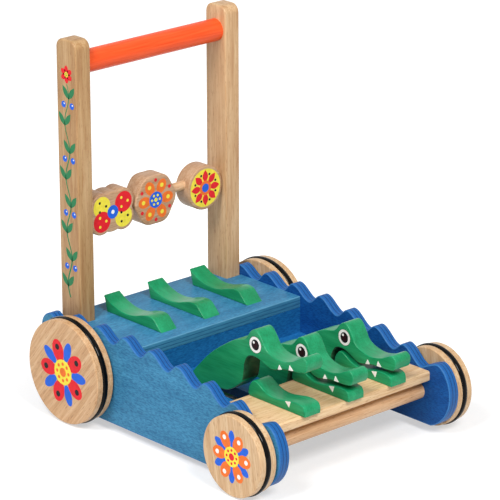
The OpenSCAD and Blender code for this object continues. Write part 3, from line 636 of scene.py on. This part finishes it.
# Spinners. Three blocks of thick board, sawn to a four-lobed, a six-sided and a round outline, sanded,
# bored across above their middles and printed on both faces. They turn freely on the rod.
SPINNER_T, SPINNER_EASE = 26.0, 1.8
LEFT_X, MIDDLE_X, RIGHT_X = -76.4, -3.41, 82.6
LEFT_HANG, MIDDLE_HANG, RIGHT_HANG = 3.3, 3.5, 6.5
LOBE_R, LOBE_X, LOBE_Z, LOBE_MIDDLE_R = 18.0, 18.0, 10.0, 27.0
HEXAGON_R, HEXAGON_SWELL, DISC_R = 34.0, 0.035, 30.0
spinner_wood = clear_wood("rubberwood_spinner", 0, ("#B58C68", "#C19B79", "#CBA989"))
theta = np.linspace(0, 2 * np.pi, 288, endpoint=False)
ray = np.stack([np.cos(theta), np.sin(theta)], 1)
lobes = np.array([(sx * LOBE_X, sz * LOBE_Z) for sx in (-1, 1) for sz in (-1, 1)])
# Along each ray the outline is the farthest crossing of a lobe's circle, or the round middle
reach = ray @ lobes.T
room = LOBE_R**2 - np.sum(lobes**2, 1) + reach**2
far = np.where(room > 0, reach + np.sqrt(np.maximum(room, 0)), 0).max(1)
lobed = ray * np.maximum(far, LOBE_MIDDLE_R)[:, None]
six_sided = ray * (HEXAGON_R * (1 + HEXAGON_SWELL * np.cos(6 * theta)))[:, None]
round_outline = DISC_R * ray
rising, falling = lobes[[1, 2]], lobes[[0, 3]]
pinwheel = [
    ("yellow", [oval(p, (14.0, 14.0)) for p in rising]),
    ("red", [oval(p, (14.0, 14.0)) for p in falling]),
    ("black", [oval(p + q, (1.8, 1.8), points=24) for p in rising for a, q in around(3, 7)]),
    ("yellow", [oval(p + q, (1.9, 1.9), points=24) for p in falling for a, q in around(3, 7)]),
    ("blue", [oval((0, 0), (9.0, 9.0))]),
    ("white", [oval((0, 0), (2.7, 2.7), points=24)]),
]
daisy = [
    ("orange", [oval(p, (10.0, 7.6), a) for a, p in around(6, 19.5)]),
    ("yellow", [oval(p, (2.9, 2.9), points=28) for a, p in around(6, 21.0)]),
    ("red", [oval(p, (2.5, 2.5), points=24) for a, p in around(6, 27.0, math.pi / 6)]),
    ("blue", [oval((0, 0), (11.0, 11.0))]),
    ("yellow", [oval(p, (1.7, 1.7), points=20) for a, p in around(6, 6.6)] + [oval((0, 0), (2.7, 2.7))]),
]
sun = [
    ("yellow", [oval((0, 0), (26.0, 26.0), points=96)]),
    ("red", [leaf((7 * math.cos(a), 7 * math.sin(a)), (24.5 * math.cos(a), 24.5 * math.sin(a)), 9.6)
             for a, p in around(8, 1.0)]),
    ("black", [oval(p, (1.7, 1.7), points=20) for a, p in around(8, 19.0, math.pi / 8)]),
    ("orange", [oval((0, 0), (10.0, 10.0))]),
    ("blue", [oval((0, 0), (5.9, 5.9))]),
]
for name, x, hang, outline, layers in (
    ("left_spinner", LEFT_X, LEFT_HANG, lobed, pinwheel),
    ("middle_spinner", MIDDLE_X, MIDDLE_HANG, six_sided, daisy),
    ("right_spinner", RIGHT_X, RIGHT_HANG, round_outline, sun),
):
    place = lambda o: o + (x, SPIN_ROD_Z - hang)
    span = (POST_Y - SPINNER_T / 2, POST_Y + SPINNER_T / 2)
    block = plate(place(outline), span, SPINNER_EASE, XZ_ACROSS_Y)
    build(name + "_sawn", [(block, 0, (0, 0))], [spinner_wood], name, [name])
    for face, sign in (("front", -1), ("back", 1)):
        print_on(f"{name}_{face}_print", layers, place, (POST_Y + sign * SPINNER_T / 2, sign), XZ_ACROSS_Y,
                 name)

# Gators. Heads on long lever arms, jaws glued on the board and tails glued on the deck, all band-sawn from
# 27 mm board, rounded over, stained green and lacquered; eyes and teeth are printed on both sides.
GATOR_T, GATOR_EASE = 27.0, 1.3
GATOR_X = {"left": -71.5, "middle": 2.5, "right": 76.5}
OPEN_ANGLE = {"left": math.radians(5.3), "middle": 0.0, "right": 0.0}
PIVOT = np.array([POST_Y, 90.6])
EYE_END_R, EYE_END_TURN, EYE_END_STEPS = 12.0, math.radians(115), 12
GATOR_STEPS = 10
# Head and jaw points are (distance ahead of the board's back edge, height above the board)
HEAD_TOP = [
    (109.6, 30.6), (108.7, 37.9), (102.5, 41.7), (95.4, 39.1), (83.1, 33.4), (66.7, 30.5), (49.4, 33.3),
    (37.6, 39.6), (31.6, 49.3), (26.8, 56.8), (22.9, 60.9), (17.7, 62.6), (12.2, 60.6), (7.7, 56.4),
    (4, 51.8), (-0.1, 48.2), (-5.2, 46.2), (-11.8, 44.9), (-18.5, 43.5), (-25.6, 40.7), (-34.8, 36.2),
    (-46, 30.3), (-56.3, 24.5), (-66.5, 18), (-76.2, 11.1), (-84.8, 3.8), (-93, -3.1), (-99.1, -8.4),
]
HEAD_LOW = [
    (-66, -29), (-38.5, -26), (-15.2, -13.4), (-9.1, -5.5), (-5.6, 6.9), (-3.7, 15.1), (1.7, 23.6),
    (9, 26.7), (17.7, 26.2), (27.4, 23), (39.1, 17.5), (49.3, 16), (61.6, 18.8), (76.9, 20.6),
    (94.3, 21.2), (105.5, 23.3),
]
JAW_RIM = [
    (-0.5, 3.6), (1.5, 12.6), (6.6, 20.2), (11.2, 22.1), (17.3, 20.6), (28.5, 14.2), (39.8, 10.8),
    (52, 10.4), (67.3, 12.7), (80.6, 15), (91.9, 15), (99.5, 12.7), (102.5, 7.1),
]
JAW_HEEL, JAW_CHIN = (3.5, 0), (102.3, 0)
# Stretch of the head's edge, inside the mouth and throat, that gets the painted mouth shade
MOUTH_SHADE_BACK, MOUTH_SHADE_FRONT, MOUTH_SHADE_ROOF = -10.0, 86.0, 28.0
# The arm's points are (Y, Z): down through the floor's slot and up over the cam to the pivot, and back
ARM_OVER = [
    (14.55, 66.8), (21.55, 55.8), (29.75, 46.3), (45.55, 42.6), (66.75, 42.1), (82.75, 52.6),
    (101.35, 75.4), (119.35, 92.4), (143.35, 100.9),
]
ARM_UNDER = [
    (163.85, 85.2), (135.85, 85.2), (123.85, 80.7), (112.85, 64.7), (97.85, 44.2), (85.55, 32.4),
    (63.55, 27.6), (48.55, 27.6), (29.55, 27.6), (15.05, 31.5), (3.05, 41.5),
]
TAIL_FRONT, TAIL_BACK = 69.85, 107.1
TAIL_TOP = [
    (12.7, 12.5), (17.8, 15.3), (27.4, 16), (40.7, 13), (52.9, 9.2), (67, 7.3), (81.3, 8.2), (93.5, 11.5),
    (101.6, 14.8), (112.9, 21.2),
]


def green_stained(name, tones, lacquer):
    """Band-sawn board under green stain: deeper streaks along the toy where the grain is open, with a coat
    of satin lacquer that pales the wood where it is seen flat. tones run from deep to pale; lacquer is the
    weight of the coat."""
    material, tree = new_material(name)
    broad = streaks(tree, (11.0, 60.0, 11.0))
    figure = add(tree, "ValToRGB", {"Fac": broad}, list(zip((0.3, 0.5, 0.7), tones)))
    # Fibres are drawn 1.7 mm wide, coarser than the real 0.3 mm, to show at this size
    fine = streaks(tree, (1.7, 26.0, 1.7), detail=2.0)
    grain = add(tree, "ValToRGB", {"Fac": fine}, [(0.32, "#D6E2DA"), (0.58, "#FFFFFF")])
    colour = add(tree, "Mix", {0: 0.75, 6: figure.outputs[0], 7: grain.outputs[0]}, data_type="RGBA",
                 blend_type="MULTIPLY")
    bump = add(tree, "Bump", {"Height": fine, "Strength": 0.18, "Distance": 0.0002})
    rough = add(tree, "MapRange", {"Value": fine, "To Min": 0.28, "To Max": 0.44})
    shader = add(tree, "BsdfPrincipled", {
        "Base Color": colour.outputs[2], "Roughness": rough.outputs[0], "Normal": bump.outputs[0],
        "IOR": 1.5, "Specular IOR Level": 0.2, "Coat Weight": lacquer, "Coat Roughness": 0.2,
    })
    add(tree, "OutputMaterial", {"Surface": shader.outputs[0]})
    return material


def on_board(points):
    """Head and jaw points to (Y, Z)."""
    return np.array([BOARD_BACK, BOARD_TOP]) + np.asarray(points, float) * (-1, 1)


def lifted(points, angle):
    """Points raised by an angle about the pivot rod."""
    cos, sin = math.cos(angle), math.sin(angle)
    return PIVOT + (np.asarray(points, float) - PIVOT) @ np.array([[cos, -sin], [sin, cos]])


green = [
    green_stained("green_stained_sawn_face", ("#198957", "#22955F", "#2DA16A"), 0.0),
    green_stained("green_stained_sawn_edge", ("#0C8755", "#14915E", "#1E9D69"), 0.2),
    # Painted shade: inside the mouth and throat the edge gets a dark green-brown, for the shade that falls
    # there
    green_stained("green_stained_painted_mouth_shade", ("#1E4630", "#275539", "#2F6242"), 0.0),
]
eye_end = arc(PIVOT, EYE_END_R, EYE_END_TURN, -EYE_END_TURN, EYE_END_STEPS)
head_points = np.vstack([on_board(HEAD_TOP), ARM_OVER, eye_end, ARM_UNDER, on_board(HEAD_LOW)])
head_outline = smooth_curve(head_points, True, GATOR_STEPS)[::-1]
ahead, height = BOARD_BACK - head_outline[:, 0], head_outline[:, 1] - BOARD_TOP
# The mouth's stretch of the edge takes the painted mouth shade, the rest the sawn edge finish
head_edge_and_mouth_shade = np.where((ahead > MOUTH_SHADE_BACK) & (ahead < MOUTH_SHADE_FRONT) & (height < MOUTH_SHADE_ROOF), 2, 1)
jaw_outline = on_board(np.vstack([JAW_HEEL, smooth_curve(JAW_RIM, False, GATOR_STEPS), JAW_CHIN]))
tail_outline = np.array([TAIL_FRONT, DECK_TOP]) + np.vstack([
    (0, 0), smooth_curve(TAIL_TOP, False, GATOR_STEPS), (TAIL_BACK, 0),
])
EYE, TOOTH_ROUND = (18.1, 43.1), 0.5
eye_print = [
    ("black", [oval(EYE, (10.9, 10.9))]),
    ("white", [oval(EYE, (10.5, 10.5))]),
    ("black", [oval(EYE, (6.8, 7.0))]),
    ("brown", [oval(EYE, (4.5, 4.7))]),
    ("white", [oval(np.add(EYE, (-2.3, 3.0)), (1.7, 1.7), points=28)]),
]
upper_teeth = ("white", [
    softened([(56.6, 18.6), (64.5, 20.2), (60.3, 25.8)], TOOTH_ROUND),
    softened([(76.6, 21.6), (85.4, 21.9), (78.9, 28.8)], TOOTH_ROUND),
])
lower_teeth = [("white", [softened([(67.1, 12.0), (77.4, 13.9), (74.3, 5.2)], TOOTH_ROUND)])]
for name, x in GATOR_X.items():
    span, angle = (x - GATOR_T / 2, x + GATOR_T / 2), OPEN_ANGLE[name]
    for part, outline, edge, body in (
        ("gator", lifted(head_outline, angle), head_edge_and_mouth_shade, name + "_gator"),
        ("jaw", jaw_outline, np.ones(len(jaw_outline), int), "frame"),
        ("tail", tail_outline, np.ones(len(tail_outline), int), "frame"),
    ):
        sawn = plate(outline, span, GATOR_EASE, YZ_ACROSS_X)
        edge = np.repeat(edge, len(sawn[2]) // len(edge))
        node = f"{name}_{part}"
        build(node + "_sawn", [(sawn, edge, (0, 0))], green, body, [node])
    for face, sign in (("outer", -1), ("inner", 1)):
        place = (x + sign * GATOR_T / 2, sign)
        print_on(f"{name}_gator_{face}_print", eye_print + [upper_teeth],
                 lambda o: lifted(on_board(o), angle), place, YZ_ACROSS_X, name + "_gator")
        print_on(f"{name}_jaw_{face}_print", lower_teeth, on_board, place, YZ_ACROSS_X, "frame")

# Studio. A white sweep of paper under two soft boxes, high at the left and at the front;
# the paper keeps the toy's shadow, and only to the eye and in reflections is it plain white.
FLOOR_SIZE, ROOM_LIGHT = 30.0, 0.18
SHADE_NEAR, SHADE_FAR, GLOW_NEAR, GLOW_FAR = 0.22, 0.6, 0.53, 0.9
PAINTED_SHADOW_CENTRE, PAINTED_SHADOW_NEAR, PAINTED_SHADOW_FAR = (0.04, 0.075, 0), 0.02, 0.18
LAMP_AIM, LAMP_SIZE = (0, 0, 0.2), 1.0


def seen_directly(tree):
    """1 for the camera, reflections and what is seen through glass, 0 for light on its way."""
    path = add(tree, "LightPath").outputs
    eye = {0: path["Is Camera Ray"], 1: path["Is Glossy Ray"]}
    either = add(tree, "Math", eye, operation="MAXIMUM").outputs[0]
    through = {0: either, 1: path["Is Transmission Ray"]}
    return add(tree, "Math", through, operation="MAXIMUM").outputs[0]


bpy.ops.mesh.primitive_plane_add(size=FLOOR_SIZE)
floor = bpy.context.object
floor.name = "paper_sweep"
paper, tree = new_material("white_paper")
seen = seen_directly(tree)
place = add(tree, "TexCoord").outputs["Object"]
distance = add(tree, "VectorMath", {0: place}, operation="LENGTH").outputs["Value"]
lift = add(tree, "MapRange", {
    "Value": distance, "From Min": SHADE_NEAR, "From Max": SHADE_FAR, "To Min": GLOW_NEAR,
    "To Max": GLOW_FAR,
}).outputs[0]
# Painted shadow: in a soft disc under the middle of the toy the glow is taken out, so only the real shade
# shows there, black through the floor's slots
middle = add(tree, "VectorMath", {0: place, 1: PAINTED_SHADOW_CENTRE}, operation="DISTANCE").outputs["Value"]
outside_painted_shadow = add(tree, "MapRange", {"Value": middle, "From Min": PAINTED_SHADOW_NEAR, "From Max": PAINTED_SHADOW_FAR},
                 interpolation_type="SMOOTHSTEP").outputs[0]
lift = add(tree, "Math", {0: lift, 1: outside_painted_shadow}, operation="MULTIPLY").outputs[0]
glow = add(tree, "Math", {0: seen, 1: lift}, operation="MULTIPLY").outputs[0]
tones = {0: seen, 6: linear("#F2F2F2"), 7: linear("#C4C4C4")}
tone = add(tree, "Mix", tones, data_type="RGBA").outputs[2]
diffuse = add(tree, "BsdfDiffuse", {"Color": tone}).outputs[0]
emission = add(tree, "Emission", {"Color": (1, 1, 1, 1), "Strength": glow}).outputs[0]
both = add(tree, "AddShader", {0: diffuse, 1: emission}).outputs[0]
add(tree, "OutputMaterial", {"Surface": both})
floor.data.materials.append(paper)

scene = bpy.context.scene
scene.view_settings.view_transform = "Standard"
scene.world = bpy.data.worlds.new("white_room")
scene.world.use_nodes = True
tree = scene.world.node_tree
tree.nodes.clear()
light = {"Value": seen_directly(tree), "To Min": ROOM_LIGHT, "To Max": 1.0}
strength = add(tree, "MapRange", light).outputs[0]
room = add(tree, "Background", {"Color": (1, 1, 1, 1), "Strength": strength}).outputs[0]
add(tree, "OutputWorld", {"Surface": room})


def soft_box(name, place, watts):
    """Square soft box at a place, turned to the toy."""
    lamp = bpy.data.lights.new(name, "AREA")
    lamp.size, lamp.energy = LAMP_SIZE, watts
    box = bpy.data.objects.new(name, lamp)
    box.location = place
    box.rotation_euler = (Vector(LAMP_AIM) - Vector(place)).to_track_quat("-Z", "Y").to_euler()
    scene.collection.objects.link(box)


soft_box("left_box", (-1.9, -0.4, 2.4), 60)
soft_box("front_box", (-0.6, -2.2, 2.4), 66)

# Camera. At the photograph's angle: above the toy's front left, with a long lens and a hair of roll.
# The lens follows from the focal length in pixels of the photograph's frame.
CAMERA, TARGET = Vector((-2.5762, -2.8272, 1.5760)), Vector((-0.0250, -0.0325, 0.2458))
FOCAL_PX, FRAME_PX, SENSOR = 3209.16, 500, 36.0
ROLL = math.radians(-0.133)
camera = bpy.data.objects.new("camera", bpy.data.cameras.new("camera"))
camera.data.sensor_width = SENSOR
camera.data.lens = FOCAL_PX / FRAME_PX * SENSOR
camera.location = CAMERA
aimed = (TARGET - CAMERA).to_track_quat("-Z", "Y") @ Quaternion((0, 0, 1), ROLL)
camera.rotation_euler = aimed.to_euler()
scene.collection.objects.link(camera)
scene.camera = camera
